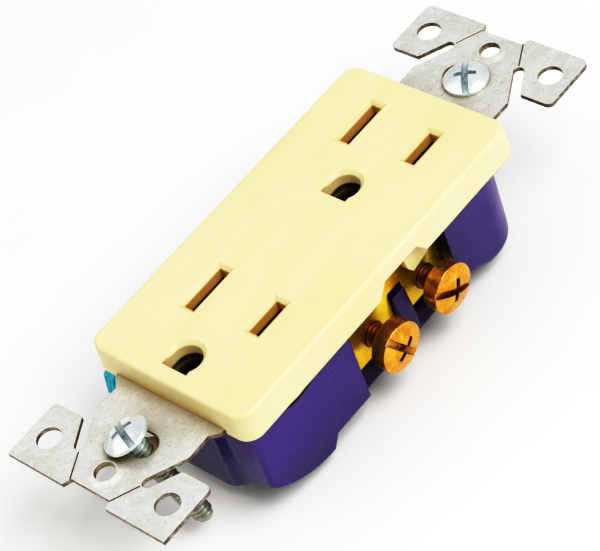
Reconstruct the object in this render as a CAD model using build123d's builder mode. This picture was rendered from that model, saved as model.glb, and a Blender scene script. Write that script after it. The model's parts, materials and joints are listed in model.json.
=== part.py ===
from build123d import *
from math import asin, cos, radians, sin
import os

# Duplex wall outlet with a rectangular face, for a 15 A grounded plug.
# Millimetres. Origin: centre of the mounting strap on the wall plane, which is the rear face of its ears.
# +Z points out of the wall, +X to the hot (brass screw) side, +Y to the upper outlet's end.

# ---------------------------------------------------------------- driving dimensions
STRAP_T = 0.8
FACE_Z = 5.4
WALL_PLATE_SPACING = 96.84
BOX_SCREW_SPACING = 83.34
OUTLET_MID_Y = 3.675
OUTLET_HALF_PITCH = 19.375
BLADE_X = 6.35
GROUND_DROP = 11.95

OUTLET_YS = [OUTLET_MID_Y + OUTLET_HALF_PITCH, OUTLET_MID_Y - OUTLET_HALF_PITCH]
GROUND_YS = [y - GROUND_DROP for y in OUTLET_YS]

# mounting strap
STRAP_END_Y = 53.35
TONGUE_END_Y = 51.9
EAR_X = 16.6
EAR_FOOT_Y = 42.4
EAR_CORNER = 1.3
NECK_X = 9.7
THROAT_X = 11.2
SHOULDER_X = 13.4
SHOULDER_Y = (28.6, 31.4)
BAND_X = 3.2
GROUND_PAD_R = 4.6
GROUND_HOLE_R = 3.3
EAR_HOLE_X = 12.6
EAR_HOLE_Y = 48.0
EAR_HOLE_R = 2.08
RIVET_OFFSET = 6.4
RIVET_HOLE_R = 1.25
PLATE_HOLE_R = 1.75
COLLAR_R = 2.9
COLLAR_H = 0.3
SLOT_LENGTH = 8.6
SLOT_R = 2.45

# face cover
COVER_BASE = (33.3, 66.9)
COVER_FRONT = (32.8, 66.4)
COVER_CORNER_R = 2.8
COVER_WALL = 2.0
FACE_PLATE_T = 2.65
LEAD_IN = 0.7
SLOT_W = 1.95
HOT_SLOT_L = 6.65
NEUTRAL_SLOT_L = 8.6
GROUND_OPENING_R = 2.6
GROUND_FLAT = 2.9
NOTCH_FOOT_HALF = 5.85
NOTCH_TOP_HALF = 3.95
NOTCH_H = 2.4

# back body
BODY_X = 15.6
BODY_HIGH_X = 15.3
BODY_TAPER_Y = 18.7
BODY_LOW_Y = -32.6
BODY_HIGH_Y = 32.4
BODY_HIGH_CORNER_R = 8.0
BODY_LOW_CORNER_R = 0.8
POD_RAMP_Y = (17.0, 24.0)
POD_Z = -17.8
POD_RIM_R = 1.4
MID_Z = -15.5
SPINE_Z = -17.1
SPINE_PROUD = 0.7
SPINE_X = (5.4, 8.9, 12.4)
SPINE_SIDE_Z = -12.4
RECESS_LOW_Y = -9.6
RECESS_HIGH_Y = 14.55
RECESS_X = 11.9
LEDGE_X = (12.95, 14.35)
LEDGE_TOP_Z = -13.2
FIN_X = (13.4, 14.1, 14.35)
FIN_T = 2.95
FIN_TOP_Z = -6.2
CHAMBER_X = (4.6, 13.8)
CHAMBER_Z = -14.4
GROUND_CHAMBER_X = 3.9
GROUND_CHAMBER_Z = -16.3

# terminals and contacts
PLATE_X = 12.0
PLATE_YS = (5.3, 15.5)
PLATE_ZS = (-12.1, -1.5)
LINK_BOTTOM_Z = -5.1
BRASS_T = 0.8
LEAF_T = 0.6
TERMINAL_HALF_PITCH = 6.625
TERMINAL_Z = -9.2
TERMINAL_TRAVEL = 3.3
LEAF_OFFSET = 1.15
CONTACT_L = 6.9
CONTACT_TOP_Z = 1.5
CONTACT_FLOOR_Z = -13.4
GROUND_CLIP_L = 4.8

# threads: major radius, minor radius, pitch
NO6_THREAD = (1.75, 1.35, 0.794)
NO8_THREAD = (2.08, 1.64, 0.794)
NO10_THREAD = (2.41, 1.92, 0.794)
RUNNING = 0.05

TERMINAL_YS = [OUTLET_MID_Y + TERMINAL_HALF_PITCH, OUTLET_MID_Y - TERMINAL_HALF_PITCH]
TERMINAL_HEAD_R = 4.3
TERMINAL_HEAD_H = 3.5
TERMINAL_RIM_H = 2.5
TERMINAL_SHANK = 7.9
HEAD_RELIEF = 0.15
MOUNTING_HEAD_R = 3.85
MOUNTING_HEAD_H = 1.8
MOUNTING_RIM_H = 0.6
MOUNTING_SHANK = 20.4

GROUND_SCREW_Y = -29.0
GROUND_SCREW_Z = -6.7
GROUND_TAB_X = -12.1
GROUND_TAB_T = 1.1

PUSH_IN_OFFSET = 3.35
PUSH_IN_W = 2.2
WIRE_HOLE_X = 10.5
WIRE_HOLE_R = 1.2
WIRE_GAUGE_L = 15.9

ASSEMBLY_SCREW_YS = [27.5, -9.0]
ASSEMBLY_SEAT_Z = -15.1

# latches: place along Y, width of the scoop and its depth
LATCHES = [(24.2, 7.4, 1.4), (-21.8, 10.4, 2.1)]
LATCH_CLEARANCE = 0.3

UPPER_SCREW_XY = (0.5, 41.3)
LOWER_SCREW_PIVOT = (0.3, -42.1, STRAP_T / 2)
LOWER_SCREW_TILT = 21.0
LOWER_SCREW_LEAN = -160.0
LOWER_SCREW_RAISE = 2.0
RETAINER_DROP = 2.5
RETAINER_SIDE = 6.2
RETAINER_T = 0.8

# Mirror plane half way between the two outlets.
MID_PLANE = Plane.XZ.offset(-OUTLET_MID_Y)


# ---------------------------------------------------------------- helpers
def rectangle_between(x_range, y_range, mode=Mode.ADD):
    """A rectangle in the current sketch from its low and high corners."""
    width = x_range[1] - x_range[0]
    height = y_range[1] - y_range[0]
    with Locations(((x_range[0] + x_range[1]) / 2, (y_range[0] + y_range[1]) / 2)):
        Rectangle(width, height, mode=mode)


def box_between(x_range, y_range, z_range, mode=Mode.ADD):
    """A box in the current part from its low and high corners."""
    centre = [(r[0] + r[1]) / 2 for r in (x_range, y_range, z_range)]
    size = [r[1] - r[0] for r in (x_range, y_range, z_range)]
    with Locations(tuple(centre)):
        Box(*size, mode=mode)


def segment_below(centre_x, width, depth):
    """A circle in the current sketch that reaches depth below y = 0 and is width wide there."""
    radius = ((width / 2) ** 2 + depth**2) / (2 * depth)
    with Locations((centre_x, radius - depth)):
        Circle(radius)


def turned(plane, degrees):
    """The plane's location, turned about the plane's own Z axis."""
    return plane.location * Rotation(0, 0, degrees)


def dome(rim_r, rim_z, top_z):
    """A spherical crown's profile in the current line, from its rim up to the axis."""
    rise = top_z - rim_z
    radius = (rim_r**2 + rise**2) / (2 * rise)
    half_angle = asin(rim_r / radius) / 2
    middle = (radius * sin(half_angle), top_z - radius * (1 - cos(half_angle)))
    ThreePointArc((rim_r, rim_z), middle, (0, top_z))


def tapped_shank(thread, length):
    """A shank with ridged threads, its top at z = 0 and its tip at z = -length."""
    major, minor, pitch = thread
    ridges = int((length - 1.2) / pitch)
    points = [(0, 0), (minor, 0)]
    for i in range(ridges):
        top = -0.3 - i * pitch
        points += [
            (minor, top),
            (major, top - 0.40 * pitch),
            (major, top - 0.55 * pitch),
            (minor, top - 0.95 * pitch),
        ]
    points += [(minor, -length + 0.5), (minor - 0.5, -length), (0, -length)]
    with BuildPart() as shank:
        with BuildSketch(Plane.XZ):
            with BuildLine():
                Polyline(*points, close=True)
            make_face()
        revolve(axis=Axis.Z)
    return shank.part


def drive_recess(head_h, slot_w, slot_depth, cross_l, cross_depth, slot_length):
    """The slot and the cross recess of a combination head, to be cut from its top."""
    with BuildPart() as recess:
        box_between(
            (-slot_length / 2, slot_length / 2),
            (-slot_w / 2, slot_w / 2),
            (head_h - slot_depth, head_h + 1),
        )
        with BuildSketch(Plane.XY.offset(head_h + 0.2)):
            Rectangle(cross_l, 0.9)
            Rectangle(0.9, cross_l)
        with BuildSketch(Plane.XY.offset(head_h - cross_depth)):
            Rectangle(cross_l * 0.45, 0.7)
            Rectangle(0.7, cross_l * 0.45)
        loft()
    return recess.part


def domed_screw(head_r, head_h, rim_h, thread, length):
    """A domed combination-drive screw, its head's underside at z = 0."""
    with BuildPart() as screw:
        with BuildSketch(Plane.XZ):
            with BuildLine():
                Line((0, 0), (head_r, 0))
                Line((head_r, 0), (head_r, rim_h))
                dome(head_r, rim_h, head_h)
                Line((0, head_h), (0, 0))
            make_face()
        revolve(axis=Axis.Z)
        slot_depth = head_h - rim_h + 0.15
        slot_w = head_r * 0.29
        cross_l = head_r * 1.15
        recess = drive_recess(head_h, slot_w, slot_depth, cross_l, slot_depth + 0.5, head_r * 2 + 1)
        add(recess, mode=Mode.SUBTRACT)
        add(tapped_shank(thread, length))
    return screw.part


# ---------------------------------------------------------------- mounting strap
with BuildPart() as mounting_strap:
    with BuildSketch(Plane.XY):
        with BuildLine():
            Polyline(
                (0, 0),
                (0, TONGUE_END_Y),
                (4.0, TONGUE_END_Y),
                (4.6, STRAP_END_Y),
                (EAR_X - EAR_CORNER, STRAP_END_Y),
            )
            ear_corner = (EAR_X - 0.4, STRAP_END_Y - 0.4)
            ThreePointArc((EAR_X - EAR_CORNER, STRAP_END_Y), ear_corner, (EAR_X, STRAP_END_Y - EAR_CORNER))
            Line((EAR_X, STRAP_END_Y - EAR_CORNER), (EAR_X, EAR_FOOT_Y + 1.0))
            foot_corner = (EAR_X - 0.3, EAR_FOOT_Y + 0.3)
            ThreePointArc((EAR_X, EAR_FOOT_Y + 1.0), foot_corner, (EAR_X - 1.0, EAR_FOOT_Y))
            Polyline((EAR_X - 1.0, EAR_FOOT_Y), (10.7, EAR_FOOT_Y), (8.05, 47.05))
            ThreePointArc((8.05, 47.05), (6.8, 47.42), (6.4, 46.2))
            Polyline(
                (6.4, 46.2),
                (NECK_X + 0.1, 40.0),
                (NECK_X, 35.6),
                (THROAT_X, 34.1),
                (THROAT_X, SHOULDER_Y[1]),
                (SHOULDER_X, SHOULDER_Y[1]),
                (SHOULDER_X, SHOULDER_Y[0]),
                (BAND_X, SHOULDER_Y[0]),
                (BAND_X, 0),
                (0, 0),
            )
        make_face()
        mirror(about=Plane.YZ)
        mirror(about=Plane.XZ)
        # the outer corners are rounded at the upper end and square at the lower one
        for side in (-1, 1):
            corner_x = tuple(sorted((side * (EAR_X - EAR_CORNER), side * EAR_X)))
            rectangle_between(corner_x, (-STRAP_END_Y, -STRAP_END_Y + EAR_CORNER))
        with Locations(*[(0, y) for y in GROUND_YS]):
            Circle(GROUND_PAD_R)
    extrude(amount=STRAP_T)

    # formed collar round each wall-plate screw hole
    collars = [(0, WALL_PLATE_SPACING / 2), (0, -WALL_PLATE_SPACING / 2)]
    with Locations(*[(x, y, STRAP_T) for x, y in collars]):
        Cone(COLLAR_R, COLLAR_R - 0.9, COLLAR_H, align=(Align.CENTER, Align.CENTER, Align.MIN))

    with BuildSketch(Plane.XY.offset(-1)):
        with Locations(*collars):
            Circle(PLATE_HOLE_R)
        with Locations(*[(sx * EAR_HOLE_X, sy * EAR_HOLE_Y) for sx in (-1, 1) for sy in (-1, 1)]):
            Circle(EAR_HOLE_R)
        with Locations((0, BOX_SCREW_SPACING / 2), (0, -BOX_SCREW_SPACING / 2)):
            SlotOverall(SLOT_LENGTH, 2 * SLOT_R)
        with Locations(*[(0, y) for y in GROUND_YS]):
            Circle(GROUND_HOLE_R)
        with Locations(*[(0, y + RIVET_OFFSET) for y in GROUND_YS]):
            Circle(RIVET_HOLE_R)
        with Locations(*[(0, y) for y in ASSEMBLY_SCREW_YS]):
            Circle(1.7)
    extrude(amount=4, mode=Mode.SUBTRACT)

    # score lines where the plaster ears snap off
    with BuildSketch(Plane.XY.offset(STRAP_T - 0.35)):
        with BuildLine():
            Line((6.55, 47.6), (4.15, TONGUE_END_Y + 0.2))
        trace(line_width=0.22)
        mirror(about=Plane.YZ)
        mirror(about=Plane.XZ)
    extrude(amount=1, mode=Mode.SUBTRACT)

    # grounding tab bent down from the strap's shoulder, with its tapped hole
    tab_y = (-31.4, -26.2)
    tab_x = (GROUND_TAB_X - GROUND_TAB_T, GROUND_TAB_X)
    box_between((-SHOULDER_X, GROUND_TAB_X + 1.2), tab_y, (0, STRAP_T))
    box_between(tab_x, tab_y, (-10.7, STRAP_T))
    with Locations(Plane(origin=(GROUND_TAB_X, GROUND_SCREW_Y, GROUND_SCREW_Z), z_dir=(1, 0, 0))):
        Cylinder(NO10_THREAD[0] + RUNNING, 6, mode=Mode.SUBTRACT)
mounting_strap.part.label = "mounting_strap"


# ---------------------------------------------------------------- face cover
def ground_opening(centre_y):
    """The D-shaped ground opening in the current sketch, its flat side towards -Y."""
    with Locations((0, centre_y)):
        Circle(GROUND_OPENING_R)
    rectangle_between((-GROUND_OPENING_R, GROUND_OPENING_R), (centre_y - GROUND_FLAT, centre_y))


with BuildPart() as face_cover:
    with BuildSketch(Plane.XY):
        RectangleRounded(*COVER_BASE, COVER_CORNER_R)
    with BuildSketch(Plane.XY.offset(FACE_Z)):
        RectangleRounded(*COVER_FRONT, COVER_CORNER_R)
    loft()
    fillet(face_cover.faces().sort_by(Axis.Z)[-1].edges(), 0.7)
    inner_z = FACE_Z - FACE_PLATE_T
    inner_x = COVER_BASE[0] / 2 - COVER_WALL
    inner_y = COVER_BASE[1] / 2 - COVER_WALL
    with BuildSketch(Plane.XY):
        RectangleRounded(2 * inner_x, 2 * inner_y, 1.5)
    extrude(amount=inner_z, mode=Mode.SUBTRACT)

    # blade slots and ground openings, each with a bevelled lead-in
    hot_slots = [(BLADE_X, y) for y in OUTLET_YS]
    neutral_slots = [(-BLADE_X, y) for y in OUTLET_YS]
    with BuildSketch(Plane.XY.offset(inner_z - 1)):
        with Locations(*hot_slots):
            Rectangle(SLOT_W, HOT_SLOT_L)
        with Locations(*neutral_slots):
            Rectangle(SLOT_W, NEUTRAL_SLOT_L)
        for ground_y in GROUND_YS:
            ground_opening(ground_y)
    extrude(amount=FACE_PLATE_T + 2, mode=Mode.SUBTRACT)
    with BuildSketch(Plane.XY.offset(FACE_Z)):
        with Locations(*hot_slots):
            Rectangle(SLOT_W + 2 * LEAD_IN, HOT_SLOT_L + 2 * LEAD_IN)
        with Locations(*neutral_slots):
            Rectangle(SLOT_W + 2 * LEAD_IN, NEUTRAL_SLOT_L + 2 * LEAD_IN)
    extrude(amount=-LEAD_IN, taper=45, mode=Mode.SUBTRACT)
    with BuildSketch(Plane.XY.offset(FACE_Z)):
        for ground_y in GROUND_YS:
            with Locations((0, ground_y)):
                Circle(GROUND_OPENING_R + LEAD_IN)
            rectangle_between((-5, 5), (ground_y - 5, ground_y - GROUND_FLAT), mode=Mode.SUBTRACT)
    extrude(amount=-LEAD_IN, taper=45, mode=Mode.SUBTRACT)

    # notches in the long walls that give a tool access to the break-off links
    with BuildSketch(Plane.YZ):
        with BuildLine():
            Polyline(
                (OUTLET_MID_Y - NOTCH_FOOT_HALF, -0.5),
                (OUTLET_MID_Y - NOTCH_FOOT_HALF, 0),
                (OUTLET_MID_Y - NOTCH_TOP_HALF, NOTCH_H),
                (OUTLET_MID_Y + NOTCH_TOP_HALF, NOTCH_H),
                (OUTLET_MID_Y + NOTCH_FOOT_HALF, 0),
                (OUTLET_MID_Y + NOTCH_FOOT_HALF, -0.5),
                close=True,
            )
        make_face()
    extrude(amount=BODY_X + 4, both=True, mode=Mode.SUBTRACT)

    # the strap passes under both end walls
    box_between((-11.5, 11.5), (-40, 40), (-0.5, STRAP_T), mode=Mode.SUBTRACT)

    # screw bosses, with pilot holes
    for boss_y in ASSEMBLY_SCREW_YS:
        with BuildSketch(Plane.XY.offset(STRAP_T)):
            with Locations((0, boss_y)):
                Circle(3.0)
        extrude(amount=inner_z - STRAP_T + 0.5)
        with BuildSketch(Plane.XY.offset(STRAP_T)):
            with Locations((0, boss_y)):
                Circle(1.45)
        extrude(amount=3.5, mode=Mode.SUBTRACT)

    # latch tabs under the long walls, and the legs that brace the upper terminal plates
    for side in (-1, 1):
        with BuildSketch(Plane.YZ.offset(side * 15.1)):
            for latch_y, width, depth in LATCHES:
                segment_below(latch_y, width - 2 * LATCH_CLEARANCE, depth - LATCH_CLEARANCE)
            rectangle_between((-50, 50), (0, 50), mode=Mode.SUBTRACT)
        extrude(amount=0.35, both=True)
        with BuildSketch(Plane.YZ.offset(side * 13.9)):
            leg_top_z = inner_z + 0.5
            Polygon(
                (6.0, leg_top_z), (6.0, -0.6), (6.3, -2.5), (7.3, -4.0), (11.3, -3.1), (11.3, leg_top_z),
                align=None,
            )
        extrude(amount=0.6, both=True)
face_cover.part.label = "face_cover"


# ---------------------------------------------------------------- back body
with BuildPart() as spine:
    # a flat-backed ridge with sloping flanks, proud of the lower end
    with BuildSketch(Plane.XZ.offset(-BODY_LOW_Y + SPINE_PROUD)):
        Polygon(
            (0, 0), (SPINE_X[2], 0), (SPINE_X[2], SPINE_SIDE_Z), (SPINE_X[1], MID_Z), (SPINE_X[0], SPINE_Z),
            (0, SPINE_Z),
            align=None,
        )
        mirror(about=Plane.YZ)
    extrude(amount=-(BODY_HIGH_Y - 0.5 - BODY_LOW_Y + SPINE_PROUD))
    with BuildSketch(Plane.XY.offset(SPINE_Z - 1)):
        Polygon(
            (-13, BODY_LOW_Y), (-9, BODY_LOW_Y), (-7, BODY_LOW_Y - SPINE_PROUD),
            (7, BODY_LOW_Y - SPINE_PROUD), (9, BODY_LOW_Y), (13, BODY_LOW_Y),
            (13, BODY_LOW_Y + 12), (SPINE_X[1], BODY_LOW_Y + 14), (SPINE_X[1], BODY_HIGH_Y),
            (-SPINE_X[1], BODY_HIGH_Y), (-SPINE_X[1], BODY_LOW_Y + 14), (-13, BODY_LOW_Y + 12),
            align=None,
        )
    extrude(amount=-SPINE_Z + 2, mode=Mode.INTERSECT)


with BuildPart() as back_body:
    with BuildSketch(Plane.YZ):
        # lower pod, with a swept end and a step towards the middle
        sweep_r = 18.2
        sweep_angle = radians(22.0)
        arc_end = (-19.4, POD_Z)
        arc_centre = (arc_end[0], POD_Z + sweep_r)
        arc_mid = (arc_centre[0] - sweep_r * sin(sweep_angle), arc_centre[1] - sweep_r * cos(sweep_angle))
        half_chord = arc_end[0] - BODY_LOW_Y
        arc_start = (BODY_LOW_Y, arc_centre[1] - (sweep_r**2 - half_chord**2) ** 0.5)
        with BuildLine():
            Polyline((RECESS_LOW_Y, MID_Z), (RECESS_LOW_Y, 0), (BODY_LOW_Y, 0), arc_start)
            ThreePointArc(arc_start, arc_mid, arc_end)
            Polyline(arc_end, (-17.8, MID_Z), (RECESS_LOW_Y, MID_Z))
        make_face()
        # upper pod, with a smooth ramp
        with BuildLine():
            ramp_start = (POD_RAMP_Y[0], MID_Z)
            ramp_end = (POD_RAMP_Y[1], POD_Z)
            Polyline(ramp_end, (BODY_HIGH_Y, POD_Z), (BODY_HIGH_Y, 0), (RECESS_HIGH_Y, 0))
            Polyline((RECESS_HIGH_Y, 0), (RECESS_HIGH_Y, MID_Z), ramp_start)
            Spline(ramp_start, ramp_end, tangents=[(1, 0), (1, 0)])
        make_face()
    extrude(amount=BODY_X, both=True)
    # plan outline: well-rounded corners at the upper end, crisp ones at the lower end
    with BuildSketch(Plane.XY.offset(-30)):
        corner_start = (BODY_HIGH_X, BODY_HIGH_Y - BODY_HIGH_CORNER_R)
        corner_end = (BODY_HIGH_X - BODY_HIGH_CORNER_R, BODY_HIGH_Y)
        with BuildLine():
            Line((0, BODY_LOW_Y), (BODY_X - BODY_LOW_CORNER_R, BODY_LOW_Y))
            low_start = (BODY_X - BODY_LOW_CORNER_R, BODY_LOW_Y)
            low_end = (BODY_X, BODY_LOW_Y + BODY_LOW_CORNER_R)
            RadiusArc(low_start, low_end, -BODY_LOW_CORNER_R)
            Polyline(low_end, (BODY_X, BODY_TAPER_Y), corner_start)
            RadiusArc(corner_start, corner_end, -BODY_HIGH_CORNER_R)
            Polyline(corner_end, (0, BODY_HIGH_Y), (0, BODY_LOW_Y))
        make_face()
        mirror(about=Plane.YZ)
    extrude(amount=30, mode=Mode.INTERSECT)
    # rounded rear rim of the upper pod
    rim = back_body.edges().filter_by_position(Axis.Z, POD_Z - 0.01, POD_Z + 0.01)
    rim = rim.filter_by_position(Axis.Y, POD_RAMP_Y[1] + 0.2, BODY_HIGH_Y + 0.1)
    fillet(rim, POD_RIM_R)

    # middle wall behind the terminals, wiring ledge and the fins between the screws
    box_between((-RECESS_X, RECESS_X), (RECESS_LOW_Y, RECESS_HIGH_Y), (MID_Z, 0))
    with BuildSketch(Plane.XZ.offset(-RECESS_HIGH_Y)):
        Polygon(
            (0, MID_Z), (LEDGE_X[1], MID_Z), (LEDGE_X[1], MID_Z + 0.2),
            (LEDGE_X[0], LEDGE_TOP_Z), (0, LEDGE_TOP_Z),
            align=None,
        )
        mirror(about=Plane.YZ)
    extrude(amount=RECESS_HIGH_Y - RECESS_LOW_Y)
    with BuildSketch(Plane.XZ.offset(-OUTLET_MID_Y)):
        Polygon(
            (0, MID_Z), (FIN_X[2], MID_Z), (FIN_X[2], -13.0), (FIN_X[1], -9.8),
            (FIN_X[0], FIN_TOP_Z), (0, FIN_TOP_Z),
            align=None,
        )
        mirror(about=Plane.YZ)
    extrude(amount=FIN_T / 2, both=True)

    add(spine.part)

    # contact chambers
    for side in (-1, 1):
        chamber_x = tuple(sorted(side * x for x in CHAMBER_X))
        box_between(chamber_x, (16.2, 27.6), (CHAMBER_Z, 1), mode=Mode.SUBTRACT)
        box_between(chamber_x, (-20.4, -10.4), (CHAMBER_Z, 1), mode=Mode.SUBTRACT)
        # slots that let the terminal strip pass from the recess into the chambers
        slot_x = tuple(sorted((side * (PLATE_X - 0.2), side * (PLATE_X + BRASS_T + 0.25))))
        box_between(slot_x, (-11.5, -9.0), (-13.7, 1), mode=Mode.SUBTRACT)
        box_between(slot_x, (14.0, 16.6), (-13.7, 1), mode=Mode.SUBTRACT)
    box_between((5.4, 14.0), (-30.9, -21.9), (-10.0, 1), mode=Mode.SUBTRACT)

    # ground chambers, seats for the ground contact plates and room for the rivets' tails
    for ground_y in GROUND_YS:
        ground_x = (-GROUND_CHAMBER_X, GROUND_CHAMBER_X)
        box_between(ground_x, (ground_y - 3.4, ground_y + 3.2), (GROUND_CHAMBER_Z, 1), mode=Mode.SUBTRACT)
        box_between(ground_x, (ground_y - 3.9, ground_y + 8.9), (-0.85, 1), mode=Mode.SUBTRACT)
        with BuildSketch(Plane.XY.offset(-1.8)):
            with Locations((0, ground_y + RIVET_OFFSET)):
                Circle(2 * RIVET_HOLE_R)
        extrude(amount=3, mode=Mode.SUBTRACT)

    # pocket at the lower corner for the grounding tab and its screw
    box_between((-20, -RECESS_X), (-40, -24.2), (-12.5, 1), mode=Mode.SUBTRACT)
    with Locations(Plane(origin=(-10, GROUND_SCREW_Y, GROUND_SCREW_Z), z_dir=(1, 0, 0))):
        Cylinder(2.9, 9, mode=Mode.SUBTRACT)

    # terminal screw clearance, push-in spring pockets, wire entries and release slots
    for side in (-1, 1):
        for terminal_y, outward in zip(TERMINAL_YS, (1, -1)):
            bore_plane = Plane(origin=(side * 8.3, terminal_y, TERMINAL_Z), z_dir=(1, 0, 0))
            with Locations(bore_plane):
                Cylinder(2.5, 7.8, mode=Mode.SUBTRACT)
            # shallow relief in the ledge and the recess wall, so that the head passes as it tightens
            relief_start = (side * (PLATE_X + BRASS_T), terminal_y, TERMINAL_Z)
            with Locations(Plane(origin=relief_start, z_dir=(side, 0, 0))):
                relief_r = TERMINAL_HEAD_R + HEAD_RELIEF
                Cylinder(relief_r, 6, align=(Align.CENTER, Align.CENTER, Align.MIN), mode=Mode.SUBTRACT)
            spring_y = terminal_y + outward * PUSH_IN_OFFSET
            pocket_y = (spring_y - PUSH_IN_W / 2 - 0.15, spring_y + PUSH_IN_W / 2 + 0.15)
            pocket_x = tuple(sorted((side * 8.0, side * (RECESS_X + 0.1))))
            box_between(pocket_x, pocket_y, (-13.9, -3.7), mode=Mode.SUBTRACT)
            with BuildSketch(Plane.XY.offset(SPINE_Z - 1)):
                with Locations((side * WIRE_HOLE_X, spring_y)):
                    Circle(WIRE_HOLE_R)
                with Locations((side * WIRE_HOLE_X, spring_y - outward * 3.0)):
                    Rectangle(2.2, 0.9)
            extrude(amount=-SPINE_Z - 13.3 + 1, mode=Mode.SUBTRACT)

    # assembly screw holes with counterbores from the rear, and a moulded wire strip gauge
    for screw_y in ASSEMBLY_SCREW_YS:
        with BuildSketch(Plane.XY.offset(SPINE_Z - 1)):
            with Locations((0, screw_y)):
                Circle(3.0)
        extrude(amount=ASSEMBLY_SEAT_Z - SPINE_Z + 1, mode=Mode.SUBTRACT)
        with BuildSketch(Plane.XY.offset(SPINE_Z)):
            with Locations((0, screw_y)):
                Circle(1.6)
        extrude(amount=-SPINE_Z + 1, mode=Mode.SUBTRACT)
    with BuildSketch(Plane.XY.offset(SPINE_Z - 0.1)):
        with Locations((-4.6, OUTLET_MID_Y)):
            SlotOverall(WIRE_GAUGE_L, 1.3, rotation=90)
    extrude(amount=0.6, mode=Mode.SUBTRACT)

    # scoops in the long walls for the cover's latch tabs
    for side in (-1, 1):
        with BuildSketch(Plane.YZ.offset(side * 15.4)):
            for latch in LATCHES:
                segment_below(*latch)
        extrude(amount=0.72, both=True, mode=Mode.SUBTRACT)
back_body.part.label = "back_body"


# ---------------------------------------------------------------- terminal strips
with BuildPart() as hot_terminal_strip:
    upper_y = OUTLET_YS[0]
    # terminal plate with its tapped hole
    with BuildSketch(Plane.YZ.offset(PLATE_X)):
        rectangle_between(PLATE_YS, PLATE_ZS)
        with Locations((TERMINAL_YS[0], TERMINAL_Z)):
            Circle(NO8_THREAD[0] + RUNNING, mode=Mode.SUBTRACT)
    extrude(amount=BRASS_T)
    # arm from the plate to the contact
    with BuildSketch(Plane.XY.offset(-7.8)):
        with BuildLine():
            plate_mid = PLATE_X + BRASS_T / 2
            Polyline((plate_mid, 13.5), (plate_mid, 18.2), (BLADE_X + LEAF_OFFSET + 0.1, 20.8))
        trace(line_width=BRASS_T)
    extrude(amount=6.0)
    # double-wipe contact: two leaves joined below, flared to guide the blade
    with BuildSketch(Plane.XZ.offset(-(upper_y + CONTACT_L / 2))):
        with BuildLine():
            Polyline(
                (BLADE_X - LEAF_OFFSET - 0.6, CONTACT_TOP_Z),
                (BLADE_X - LEAF_OFFSET, CONTACT_TOP_Z - 1.6),
                (BLADE_X - LEAF_OFFSET, CONTACT_FLOOR_Z),
                (BLADE_X + LEAF_OFFSET, CONTACT_FLOOR_Z),
                (BLADE_X + LEAF_OFFSET, CONTACT_TOP_Z - 1.6),
                (BLADE_X + LEAF_OFFSET + 0.6, CONTACT_TOP_Z),
            )
        trace(line_width=LEAF_T)
    extrude(amount=CONTACT_L)
    mirror(about=MID_PLANE)
    # break-off link between the two plates, and the lower plate's foot on the ledge
    plate_x = (PLATE_X, PLATE_X + BRASS_T)
    box_between(plate_x, (1.0, PLATE_YS[0] + 0.3), (LINK_BOTTOM_Z, PLATE_ZS[1]))
    box_between(plate_x, (2 * OUTLET_MID_Y - PLATE_YS[1], 0.5), (LEDGE_TOP_Z + 0.05, -12.0))
hot_terminal_strip.part.label = "hot_terminal_strip"

with BuildPart() as neutral_terminal_strip:
    mirror(hot_terminal_strip.part, about=Plane.YZ)
neutral_terminal_strip.part.label = "neutral_terminal_strip"


# ---------------------------------------------------------------- ground contacts and rivets
with BuildPart() as ground_contact_upper:
    ground_y = GROUND_YS[0]
    with BuildSketch(Plane.XY.offset(-BRASS_T)):
        rectangle_between((-3.6, 3.6), (ground_y - 3.3, ground_y + 8.6))
        with Locations((0, ground_y)):
            Rectangle(5.2, 5.4, mode=Mode.SUBTRACT)
        with Locations((0, ground_y + RIVET_OFFSET)):
            Circle(RIVET_HOLE_R, mode=Mode.SUBTRACT)
    extrude(amount=BRASS_T)
    with BuildSketch(Plane.XZ.offset(-(ground_y + GROUND_CLIP_L / 2))):
        with BuildLine():
            Polyline((3.3, -0.4), (3.3, -6.0), (2.85, -9.5), (3.4, -13.5))
        trace(line_width=LEAF_T)
        mirror(about=Plane.YZ)
    extrude(amount=GROUND_CLIP_L)
ground_contact_upper.part.label = "ground_contact_upper"

with BuildPart() as ground_contact_lower:
    with Locations((0, GROUND_YS[1] - GROUND_YS[0], 0)):
        add(ground_contact_upper.part)
ground_contact_lower.part.label = "ground_contact_lower"

with BuildPart() as ground_contact_rivets:
    for ground_y in GROUND_YS:
        rivet_y = ground_y + RIVET_OFFSET
        with BuildSketch(Plane.XZ.offset(-rivet_y)):
            with BuildLine():
                Polyline((0, -1.4), (1.9, -1.4), (2.0, -BRASS_T), (1.2, -BRASS_T))
                Polyline((1.2, -BRASS_T), (1.2, STRAP_T), (2.3, STRAP_T))
                dome(2.3, STRAP_T, STRAP_T + 0.8)
                Line((0, STRAP_T + 0.8), (0, -1.4))
            make_face()
        revolve(axis=Axis((0, rivet_y, 0), (0, 0, 1)))
ground_contact_rivets.part.label = "ground_contact_rivets"


# ---------------------------------------------------------------- push-in wire springs
def push_in_spring(side, terminal_y, outward):
    """A bent leaf that grips a wire pushed in from the rear, against the terminal plate."""
    spring_y = terminal_y + outward * PUSH_IN_OFFSET
    with BuildPart() as spring:
        with BuildSketch(Plane.XZ.offset(-(spring_y + PUSH_IN_W / 2))):
            with BuildLine():
                Polyline(
                    (side * 8.6, -13.5),
                    (side * 8.6, -5.1),
                    (side * 9.6, -4.5),
                    (side * 11.1, -7.9),
                )
            trace(line_width=0.4)
        extrude(amount=PUSH_IN_W)
    return spring.part


with BuildPart() as push_in_spring_hot_upper:
    add(push_in_spring(1, TERMINAL_YS[0], 1))
push_in_spring_hot_upper.part.label = "push_in_spring_hot_upper"

with BuildPart() as push_in_spring_hot_lower:
    add(push_in_spring(1, TERMINAL_YS[1], -1))
push_in_spring_hot_lower.part.label = "push_in_spring_hot_lower"

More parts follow.
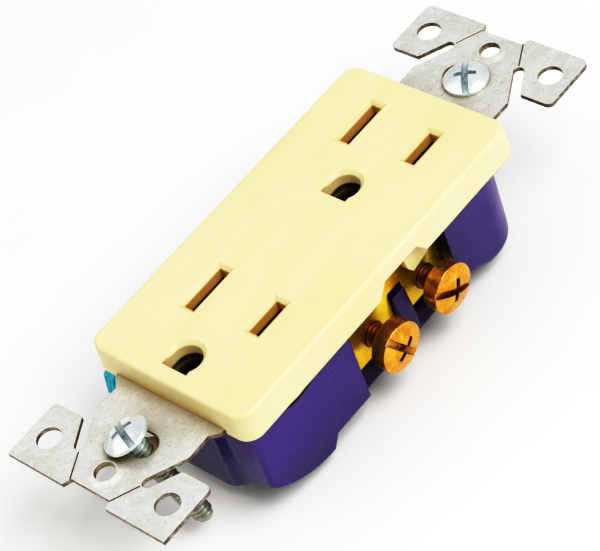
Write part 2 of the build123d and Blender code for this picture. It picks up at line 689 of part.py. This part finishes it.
with BuildPart() as push_in_spring_neutral_upper:
    add(push_in_spring(-1, TERMINAL_YS[0], 1))
push_in_spring_neutral_upper.part.label = "push_in_spring_neutral_upper"

with BuildPart() as push_in_spring_neutral_lower:
    add(push_in_spring(-1, TERMINAL_YS[1], -1))
push_in_spring_neutral_lower.part.label = "push_in_spring_neutral_lower"


# ---------------------------------------------------------------- terminal screws, backed out as supplied
terminal_screw = domed_screw(TERMINAL_HEAD_R, TERMINAL_HEAD_H, TERMINAL_RIM_H, NO8_THREAD, TERMINAL_SHANK)
terminal_seat_x = PLATE_X + BRASS_T + TERMINAL_TRAVEL


def terminal_place(side, terminal_y, turn):
    """Where a terminal screw sits: Z out of the side of the device, turned about its own axis."""
    origin = (side * terminal_seat_x, terminal_y, TERMINAL_Z)
    return turned(Plane(origin=origin, x_dir=(0, 1, 0), z_dir=(side, 0, 0)), turn)


with BuildPart() as hot_terminal_screw_upper:
    with Locations(terminal_place(1, TERMINAL_YS[0], -27)):
        add(terminal_screw)
hot_terminal_screw_upper.part.label = "hot_terminal_screw_upper"

with BuildPart() as hot_terminal_screw_lower:
    with Locations(terminal_place(1, TERMINAL_YS[1], -58)):
        add(terminal_screw)
hot_terminal_screw_lower.part.label = "hot_terminal_screw_lower"

with BuildPart() as neutral_terminal_screw_upper:
    with Locations(terminal_place(-1, TERMINAL_YS[0], 30)):
        add(terminal_screw)
neutral_terminal_screw_upper.part.label = "neutral_terminal_screw_upper"

with BuildPart() as neutral_terminal_screw_lower:
    with Locations(terminal_place(-1, TERMINAL_YS[1], -40)):
        add(terminal_screw)
neutral_terminal_screw_lower.part.label = "neutral_terminal_screw_lower"


# ---------------------------------------------------------------- ground screw
with BuildPart() as ground_screw_shape:
    with BuildSketch(Plane.XY):
        Circle(4.5)
    extrude(amount=0.6)
    with BuildSketch(Plane.XY.offset(0.6)):
        RegularPolygon(3.97, 6, major_radius=False)
    extrude(amount=2.2)
    with BuildSketch(Plane.XY.offset(2.0)):
        Rectangle(10, 1.1)
    extrude(amount=2, mode=Mode.SUBTRACT)
    add(tapped_shank(NO10_THREAD, 7.0))

with BuildPart() as ground_screw:
    seat = (GROUND_TAB_X - GROUND_TAB_T - 1.4, GROUND_SCREW_Y, GROUND_SCREW_Z)
    with Locations(Plane(origin=seat, x_dir=(0, 0.94, 0.34), z_dir=(-1, 0, 0))):
        add(ground_screw_shape.part)
ground_screw.part.label = "ground_screw"


# ---------------------------------------------------------------- mounting screws and their retainers
mounting_screw = domed_screw(MOUNTING_HEAD_R, MOUNTING_HEAD_H, MOUNTING_RIM_H, NO6_THREAD, MOUNTING_SHANK)

with BuildPart() as retainer_shape:
    with BuildSketch(Plane.XY.offset(-RETAINER_T / 2)):
        Rectangle(RETAINER_SIDE, RETAINER_SIDE)
        Circle(NO6_THREAD[0] + RUNNING, mode=Mode.SUBTRACT)
    extrude(amount=RETAINER_T)

with BuildPart() as mounting_screw_upper:
    with Locations(turned(Plane(origin=(*UPPER_SCREW_XY, STRAP_T + 0.02)), -54)):
        add(mounting_screw)
mounting_screw_upper.part.label = "mounting_screw_upper"

with BuildPart() as screw_retainer_upper:
    with Locations(turned(Plane(origin=(*UPPER_SCREW_XY, -RETAINER_T / 2 - 0.2)), 15)):
        add(retainer_shape.part)
screw_retainer_upper.part.label = "screw_retainer_upper"

tilt = radians(LOWER_SCREW_TILT)
lean = radians(LOWER_SCREW_LEAN)
lower_axis = Vector(sin(tilt) * cos(lean), sin(tilt) * sin(lean), cos(tilt))
lower_across = Vector(lower_axis.Z, 0, -lower_axis.X)
lower_seat = Vector(*LOWER_SCREW_PIVOT) + lower_axis * LOWER_SCREW_RAISE
lower_retainer_centre = Vector(*LOWER_SCREW_PIVOT) - lower_axis * RETAINER_DROP

with BuildPart() as mounting_screw_lower:
    with Locations(turned(Plane(origin=lower_seat, x_dir=lower_across, z_dir=lower_axis), -23)):
        add(mounting_screw)
mounting_screw_lower.part.label = "mounting_screw_lower"

with BuildPart() as screw_retainer_lower:
    with Locations(turned(Plane(origin=lower_retainer_centre, x_dir=lower_across, z_dir=lower_axis), 15)):
        add(retainer_shape.part)
screw_retainer_lower.part.label = "screw_retainer_lower"


# ---------------------------------------------------------------- assembly screws, driven from the rear
with BuildPart() as assembly_screw_shape:
    with BuildSketch(Plane.XZ):
        with BuildLine():
            Polyline((0, 0), (2.7, 0), (2.7, 0.7))
            dome(2.7, 0.7, 1.8)
            Line((0, 1.8), (0, 0))
        make_face()
    revolve(axis=Axis.Z)
    add(drive_recess(1.8, 0.6, 0.2, 3.0, 1.2, 0.6), mode=Mode.SUBTRACT)
    add(tapped_shank((1.4, 1.1, 1.0), 19.2))

with BuildPart() as assembly_screws:
    seats = [Plane(origin=(0, y, ASSEMBLY_SEAT_Z), z_dir=(0, 0, -1)) for y in ASSEMBLY_SCREW_YS]
    with Locations(*seats):
        add(assembly_screw_shape.part)
assembly_screws.part.label = "assembly_screws"


# ---------------------------------------------------------------- export
os.makedirs("parts", exist_ok=True)
pieces = [
    mounting_strap,
    face_cover,
    back_body,
    hot_terminal_strip,
    neutral_terminal_strip,
    ground_contact_upper,
    ground_contact_lower,
    ground_contact_rivets,
    push_in_spring_hot_upper,
    push_in_spring_hot_lower,
    push_in_spring_neutral_upper,
    push_in_spring_neutral_lower,
    hot_terminal_screw_upper,
    hot_terminal_screw_lower,
    neutral_terminal_screw_upper,
    neutral_terminal_screw_lower,
    ground_screw,
    mounting_screw_upper,
    mounting_screw_lower,
    screw_retainer_upper,
    screw_retainer_lower,
    assembly_screws,
]
for piece in pieces:
    export_step(piece.part, f"parts/{piece.part.label}.step")
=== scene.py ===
import json
from math import cos, radians, sin

import bpy
from mathutils import Matrix, Vector

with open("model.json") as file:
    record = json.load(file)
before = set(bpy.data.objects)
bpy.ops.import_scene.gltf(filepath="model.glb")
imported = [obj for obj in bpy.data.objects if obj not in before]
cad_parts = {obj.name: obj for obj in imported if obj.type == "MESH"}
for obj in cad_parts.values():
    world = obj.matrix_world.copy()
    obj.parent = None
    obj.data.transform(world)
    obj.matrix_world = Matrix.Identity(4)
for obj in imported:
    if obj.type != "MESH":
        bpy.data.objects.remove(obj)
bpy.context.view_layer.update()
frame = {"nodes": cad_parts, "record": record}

# Camera: a high three-quarter view over the face, the hot side and the lower end.
CAMERA_PLACE = Vector((0.21567, -0.14990, 0.26532))
CAMERA_AZIMUTH = radians(55.74)
CAMERA_ELEVATION = radians(45.68)
CAMERA_ROLL = radians(-21.74)
CAMERA_LENS = 143.5
FLOOR_Z = -0.0205


# ---------------------------------------------------------------- material helpers
class Look:
    """A procedural material under construction, with one principled shader."""

    def __init__(self, name):
        self.material = bpy.data.materials.new(name)
        self.material.use_nodes = True
        self.tree = self.material.node_tree
        self.shader = self.tree.nodes["Principled BSDF"]
        coords = self.node("ShaderNodeTexCoord")
        self.place = coords.outputs["Object"]

    def node(self, kind, **settings):
        made = self.tree.nodes.new(kind)
        for key, value in settings.items():
            setattr(made, key, value)
        return made

    def link(self, source, target):
        self.tree.links.new(source, target)

    def feed(self, target, value):
        """Sets a socket to a number or colour, or links it to another node's output."""
        if isinstance(value, bpy.types.NodeSocket):
            self.link(value, target)
        elif isinstance(value, tuple) and len(value) == 3 and target.type == "RGBA":
            target.default_value = (*value, 1)
        else:
            target.default_value = value

    def set(self, **inputs):
        """Feeds the shader's inputs; an underscore in a name stands for a space."""
        for key, value in inputs.items():
            self.feed(self.shader.inputs[key.replace("_", " ")], value)

    def stretched(self, scale, turn=(0, 0, 0)):
        mapping = self.node("ShaderNodeMapping")
        self.link(self.place, mapping.inputs["Vector"])
        mapping.inputs["Scale"].default_value = scale
        mapping.inputs["Rotation"].default_value = turn
        return mapping.outputs["Vector"]

    def coordinate(self, axis):
        """One coordinate of the piece's own frame, in metres."""
        split = self.node("ShaderNodeSeparateXYZ")
        self.link(self.place, split.inputs["Vector"])
        return split.outputs[axis]

    def noise(self, scale, detail=4.0, roughness=0.55, place=None, distortion=0.0):
        made = self.node("ShaderNodeTexNoise")
        self.link(place or self.place, made.inputs["Vector"])
        made.inputs["Scale"].default_value = scale
        made.inputs["Detail"].default_value = detail
        made.inputs["Roughness"].default_value = roughness
        made.inputs["Distortion"].default_value = distortion
        return made.outputs["Fac"]

    def cells(self, scale):
        made = self.node("ShaderNodeTexVoronoi")
        self.link(self.place, made.inputs["Vector"])
        made.inputs["Scale"].default_value = scale
        return made

    def range(self, value, low, high, to_low=0.0, to_high=1.0):
        made = self.node("ShaderNodeMapRange", interpolation_type="SMOOTHSTEP")
        self.feed(made.inputs["Value"], value)
        made.inputs["From Min"].default_value = low
        made.inputs["From Max"].default_value = high
        made.inputs["To Min"].default_value = to_low
        made.inputs["To Max"].default_value = to_high
        return made.outputs["Result"]

    def math(self, operation, a, b=0.0):
        made = self.node("ShaderNodeMath", operation=operation)
        self.feed(made.inputs[0], a)
        self.feed(made.inputs[1], b)
        return made.outputs[0]

    def mix(self, factor, a, b):
        made = self.node("ShaderNodeMix", data_type="RGBA")
        self.feed(made.inputs["Factor"], factor)
        self.feed(made.inputs[6], a)
        self.feed(made.inputs[7], b)
        return made.outputs[2]

    def edges(self, radius):
        """1 along convex and concave edges within the radius, 0 on flat areas; and the softened normal."""
        bevel = self.node("ShaderNodeBevel", samples=6)
        bevel.inputs["Radius"].default_value = radius
        geometry = self.node("ShaderNodeNewGeometry")
        dot = self.node("ShaderNodeVectorMath", operation="DOT_PRODUCT")
        self.link(bevel.outputs["Normal"], dot.inputs[0])
        self.link(geometry.outputs["Normal"], dot.inputs[1])
        off = self.math("SUBTRACT", 1.0, dot.outputs["Value"])
        return self.range(off, 0.02, 0.25), bevel.outputs["Normal"]

    def painted_shade(self, distance, low, high):
        """Painted shade from ambient occlusion: 1 deep in crevices and 0 in the open."""
        shade = self.node("ShaderNodeAmbientOcclusion", samples=6)
        shade.inputs["Distance"].default_value = distance
        return self.range(shade.outputs["AO"], low, high, 1.0, 0.0)

    def upright(self):
        """1 on walls that stand along Z, 0 on level faces."""
        geometry = self.node("ShaderNodeNewGeometry")
        split = self.node("ShaderNodeSeparateXYZ")
        self.link(geometry.outputs["True Normal"], split.inputs[0])
        level = self.math("ABSOLUTE", split.outputs["Z"])
        return self.range(level, 0.3, 0.6, 1.0, 0.0)

    def bump(self, height, strength, distance, normal=None):
        made = self.node("ShaderNodeBump")
        made.inputs["Strength"].default_value = strength
        made.inputs["Distance"].default_value = distance
        self.link(height, made.inputs["Height"])
        if normal is not None:
            self.link(normal, made.inputs["Normal"])
        return made.outputs["Normal"]


def moulded_plastic(name, colour, tint, deep, edge_wear_and_highlight, roughness, mottle, subsurface=0.0, reach=0.0050):
    """Moulded thermoplastic: flow mottling, mould texture, polished edges with a painted highlight, deeper
    colour in recesses as painted shade.
    """
    look = Look(name)
    flow = look.noise(90, 3.0, 0.5, place=look.stretched((1, 0.35, 1)), distortion=1.2)
    body = look.mix(look.range(flow, 0.35, 0.7), colour, tint)
    specks = look.range(look.noise(2600, 2.0), 0.68, 0.8, 0.0, mottle)
    body = look.mix(specks, body, tint)
    edge, normal = look.edges(0.00035)
    scuffs = look.range(look.noise(700, 5.0, 0.7), 0.45, 0.7)
    # lighter edges: partly edge wear, partly a painted highlight along convex and concave edges
    body = look.mix(look.math("MULTIPLY", look.math("MULTIPLY", edge, scuffs), 0.55), body, edge_wear_and_highlight)
    # painted shade: the deep colour darkens the plastic in recesses and under overhanging parts, as far as
    # the occlusion reach
    body = look.mix(look.math("MULTIPLY", look.painted_shade(reach, 0.35, 0.95), 0.95), body, deep)
    smooth = look.range(look.noise(240, 4.0), 0.3, 0.75, roughness - 0.05, roughness + 0.08)
    rough = look.math("ADD", smooth, look.math("MULTIPLY", scuffs, 0.04))
    grain = look.noise(5200, 2.0, 0.6)
    ripple = look.noise(160, 2.0)
    height = look.math("ADD", look.math("MULTIPLY", grain, 0.35), ripple)
    look.set(
        Base_Color=body,
        Roughness=rough,
        Normal=look.bump(height, 0.16, 0.00012, normal),
        Specular_IOR_Level=0.5,
    )
    if subsurface:
        look.set(Subsurface_Weight=subsurface, Subsurface_Radius=(1.0, 0.6, 0.2), Subsurface_Scale=0.0015)
    return look.material


def plated_metal(
    name,
    colour,
    deep,
    bright,
    roughness,
    sweep=(1, 1, 1),
    painted_shade=0.6,
    reach=0.0016,
    metallic=1.0,
    shade=None,
    thread_shade=None,
):
    """Plated or bare metal: cloudy colour, drawn scratches, bright rubbed edges and painted shade in
    crevices.
    """
    look = Look(name)
    cloud = look.noise(420, 5.0, 0.6, distortion=0.6)
    body = look.mix(look.range(cloud, 0.3, 0.7), colour, deep)
    lines = look.noise(900, 6.0, 0.7, place=look.stretched(sweep))
    body = look.mix(look.range(lines, 0.5, 0.75, 0.0, 0.3), body, bright)
    edge, normal = look.edges(0.0002)
    body = look.mix(look.math("MULTIPLY", edge, 0.6), body, bright)
    crevice_shade = look.math("MULTIPLY", look.painted_shade(reach, 0.25, 0.9), painted_shade)
    # painted shade: crevices take the shade colour, by default a darker copy of the deep colour
    body = look.mix(crevice_shade, body, shade or tuple(c * 0.16 for c in deep))
    if thread_shade:
        # painted shade on the threads, which lie inside the heads and below the strap
        inside = look.range(look.math("ABSOLUTE", look.coordinate("X")), 0.0155, 0.0162, 1.0, 0.0)
        below = look.range(look.coordinate("Z"), -0.0002, 0.0008, 1.0, 0.0)
        thread_shade_mask = look.math("MULTIPLY", look.math("MULTIPLY", inside, below), 0.75)
        body = look.mix(thread_shade_mask, body, thread_shade)
    rough = look.range(lines, 0.25, 0.8, roughness - 0.06, roughness + 0.12)
    rough = look.math("ADD", rough, look.math("MULTIPLY", crevice_shade, 0.25))
    look.set(
        Base_Color=body,
        Metallic=metallic,
        Roughness=rough,
        Normal=look.bump(lines, 0.12, 0.00008, normal),
    )
    return look.material


def galvanised(name):
    """Galvanised sheet steel: a frosted spangle, fine specks, rolled-in streaks and dark sheared edges."""
    look = Look(name)
    frost = look.noise(1500, 5.0, 0.72, distortion=1.5)
    cloud = look.noise(160, 4.0, 0.6, distortion=0.8)
    body = look.mix(look.range(cloud, 0.30, 0.72), (0.87, 0.88, 0.85), (0.74, 0.74, 0.69))
    body = look.mix(look.range(frost, 0.48, 0.66, 0.0, 0.6), body, (0.46, 0.45, 0.39))
    crystal = look.cells(1300)
    split = look.node("ShaderNodeSeparateColor")
    look.link(crystal.outputs["Color"], split.inputs[0])
    body = look.mix(look.range(split.outputs[0], 0.72, 1.0, 0.0, 0.5), body, (0.95, 0.95, 0.94))
    pits = look.range(look.noise(3600, 3.0, 0.7), 0.58, 0.72, 0.0, 0.5)
    body = look.mix(pits, body, (0.22, 0.20, 0.18))
    streaks = look.noise(300, 5.0, 0.7, place=look.stretched((6, 0.7, 1)))
    body = look.mix(look.range(streaks, 0.55, 0.8, 0.0, 0.35), body, (0.52, 0.50, 0.46))
    edge, normal = look.edges(0.00015)
    body = look.mix(look.math("MULTIPLY", edge, 0.45), body, (0.50, 0.46, 0.38))
    burr = look.noise(900, 4.0, 0.7)
    sheared = look.math("MULTIPLY", look.upright(), look.range(burr, 0.25, 0.6, 0.55, 0.95))
    body = look.mix(sheared, body, (0.11, 0.075, 0.04))
    # painted shade and painted reflection: the strap turns warm brown near the cover and other raised
    # parts, from the occlusion mask
    body = look.mix(look.math("MULTIPLY", look.painted_shade(0.0070, 0.30, 0.95), 0.90), body, (0.28, 0.18, 0.012))
    rough = look.range(frost, 0.35, 0.7, 0.34, 0.55)
    rough = look.math("ADD", rough, look.math("MULTIPLY", pits, 0.15))
    height = look.math("ADD", look.math("MULTIPLY", split.outputs[2], 0.25), frost)
    look.set(
        Base_Color=body,
        Metallic=0.6,
        Roughness=rough,
        Normal=look.bump(height, 0.22, 0.00008, normal),
    )
    return look.material


def pressed_fibre(name):
    """Vulcanised fibre sheet: matted strands, fuzzy cut edges."""
    look = Look(name)
    strands = look.noise(1500, 6.0, 0.7, place=look.stretched((1, 5, 1), (0, 0, 0.4)))
    body = look.mix(look.range(strands, 0.3, 0.7), (0.33, 0.20, 0.09), (0.55, 0.38, 0.19))
    edge, normal = look.edges(0.00025)
    body = look.mix(look.math("MULTIPLY", edge, 0.6), body, (0.66, 0.52, 0.33))
    look.set(
        Base_Color=body,
        Roughness=look.range(strands, 0.3, 0.7, 0.78, 0.92),
        Normal=look.bump(strands, 0.5, 0.0002, normal),
    )
    return look.material


def studio_floor(name):
    """Pale matt backdrop with a barely visible tone."""
    look = Look(name)
    tone = look.noise(14, 3.0)
    body = look.mix(look.range(tone, 0.3, 0.7), (0.93, 0.93, 0.925), (0.96, 0.96, 0.955))
    look.set(
        Base_Color=body,
        Roughness=look.range(look.noise(60, 3.0), 0.3, 0.7, 0.72, 0.82),
        Normal=look.bump(look.noise(900, 3.0), 0.04, 0.0002),
        Specular_IOR_Level=0.15,
    )
    return look.material


# ---------------------------------------------------------------- materials on the CAD pieces
looks = {
    "ivory_thermoplastic": moulded_plastic(
        "ivory_thermoplastic",
        (0.80, 0.73, 0.43),
        (0.77, 0.69, 0.38),
        (0.55, 0.27, 0.03),
        (0.92, 0.87, 0.62),
        0.36,
        0.35,
        subsurface=0.25,
    ),
    "violet_thermoplastic": moulded_plastic(
        "violet_thermoplastic",
        (0.048, 0.013, 0.205),
        (0.036, 0.009, 0.150),
        (0.012, 0.006, 0.030),
        (0.16, 0.11, 0.40),
        0.24,
        0.5,
        reach=0.0140,
    ),
    "galvanised_steel": galvanised("galvanised_steel"),
    "brass": plated_metal(
        "brass",
        (0.93, 0.64, 0.02),
        (0.82, 0.50, 0.015),
        (1.0, 0.82, 0.18),
        0.22,
        sweep=(1, 0.12, 1),
        painted_shade=0.8,
        reach=0.0030,
        metallic=0.85,
        shade=(0.16, 0.035, 0.010),
    ),
    # ground contact: its dark colour and long-reach crevice darkening are painted shade for the closed
    # space behind the ground opening
    "tarnished_brass": plated_metal(
        "tarnished_brass",
        (0.20, 0.12, 0.04),
        (0.12, 0.07, 0.02),
        (0.45, 0.30, 0.10),
        0.42,
        painted_shade=0.9,
        reach=0.0080,
    ),
    "nickel_plated_brass": plated_metal(
        "nickel_plated_brass",
        (0.72, 0.69, 0.62),
        (0.58, 0.54, 0.47),
        (0.93, 0.91, 0.87),
        0.30,
        sweep=(1, 0.12, 1),
        metallic=0.85,
    ),
    "spring_steel": plated_metal(
        "spring_steel", (0.42, 0.42, 0.43), (0.28, 0.28, 0.30), (0.75, 0.75, 0.76), 0.30, sweep=(1, 1, 0.15)
    ),
    "brass_plated_steel": plated_metal(
        "brass_plated_steel",
        (0.84, 0.44, 0.05),
        (0.60, 0.25, 0.03),
        (1.0, 0.84, 0.30),
        0.24,
        painted_shade=0.95,
        reach=0.0030,
        metallic=0.9,
        shade=(0.16, 0.030, 0.010),
        thread_shade=(0.22, 0.06, 0.02),
    ),
    "zinc_plated_steel": plated_metal(
        "zinc_plated_steel",
        (0.92, 0.94, 0.95),
        (0.74, 0.82, 0.84),
        (1.0, 1.0, 1.0),
        0.22,
        painted_shade=0.80,
        reach=0.0045,
        metallic=0.60,
        shade=(0.33, 0.44, 0.46),
        thread_shade=(0.17, 0.16, 0.09),
    ),
    "green_dyed_steel": plated_metal(
        "green_dyed_steel", (0.02, 0.42, 0.46), (0.01, 0.22, 0.36), (0.30, 0.80, 0.85), 0.26
    ),
    "vulcanised_fibre": pressed_fibre("vulcanised_fibre"),
}

for entry in frame["record"]["subparts"]:
    piece = frame["nodes"][entry["node"]]
    for material_slot in piece.material_slots:
        material_slot.material = looks[entry["material_slot"]]


# ---------------------------------------------------------------- floor, light, camera
def linear(encoded):
    """Scene-linear light for an encoded sRGB level."""
    return ((encoded + 0.055) / 1.055) ** 2.4


def print_contrast(settings):
    """The firm contrast of a catalogue print: shadows sink, light tones lift, black and white stay."""
    settings.use_curve_mapping = True
    mapping = settings.curve_mapping
    curve = mapping.curves[3]
    for before, after in ((0.32, 0.20), (0.45, 0.36), (0.64, 0.65), (0.82, 0.90)):
        curve.points.new(linear(before), linear(after))
    mapping.update()


def area_light(name, place, target, size, power, colour=(1, 1, 1)):
    data = bpy.data.lights.new(name, "AREA")
    data.shape = "RECTANGLE"
    data.size, data.size_y = size
    data.energy = power
    data.color = colour
    made = bpy.data.objects.new(name, data)
    bpy.context.scene.collection.objects.link(made)
    made.location = place
    made.rotation_mode = "QUATERNION"
    made.rotation_quaternion = (Vector(target) - Vector(place)).to_track_quat("-Z", "Y")
    return made


bpy.ops.mesh.primitive_plane_add(size=6.0, location=(0, 0, FLOOR_Z))
floor = bpy.context.object
floor.name = "floor"
floor.data.materials.append(studio_floor("studio_floor"))

area_light("key_light", (0.395, 0.095, 0.57), (0, 0, 0), (0.45, 0.45), 3.8, (1.0, 0.99, 0.97))
area_light("card_light", (-0.50, -0.35, 0.60), (0, 0, 0), (0.80, 0.80), 1.35)
area_light("fill_light", (-0.30, -0.55, 0.35), (0, 0, 0), (0.40, 0.40), 0.25, (1.0, 0.85, 0.45))

world = bpy.data.worlds.new("studio_world")
world.use_nodes = True
world.node_tree.nodes["Background"].inputs["Color"].default_value = (1.0, 1.0, 1.0, 1)
world.node_tree.nodes["Background"].inputs["Strength"].default_value = 0.42
bpy.context.scene.world = world

back = Vector(
    (
        sin(CAMERA_AZIMUTH) * cos(CAMERA_ELEVATION),
        -cos(CAMERA_AZIMUTH) * cos(CAMERA_ELEVATION),
        sin(CAMERA_ELEVATION),
    )
)
level = Vector((cos(CAMERA_AZIMUTH), sin(CAMERA_AZIMUTH), 0))
above = back.cross(level)
right = level * cos(CAMERA_ROLL) + above * sin(CAMERA_ROLL)
up = back.cross(right)
camera_data = bpy.data.cameras.new("camera")
camera_data.lens = CAMERA_LENS
camera_data.sensor_width = 36.0
camera_data.clip_start = 0.02
camera_data.clip_end = 20.0
camera = bpy.data.objects.new("camera", camera_data)
bpy.context.scene.collection.objects.link(camera)
turn = Matrix((right, up, back)).transposed().to_4x4()
camera.matrix_world = Matrix.Translation(CAMERA_PLACE) @ turn
bpy.context.scene.camera = camera
bpy.context.scene.view_settings.view_transform = "Standard"
print_contrast(bpy.context.scene.view_settings)
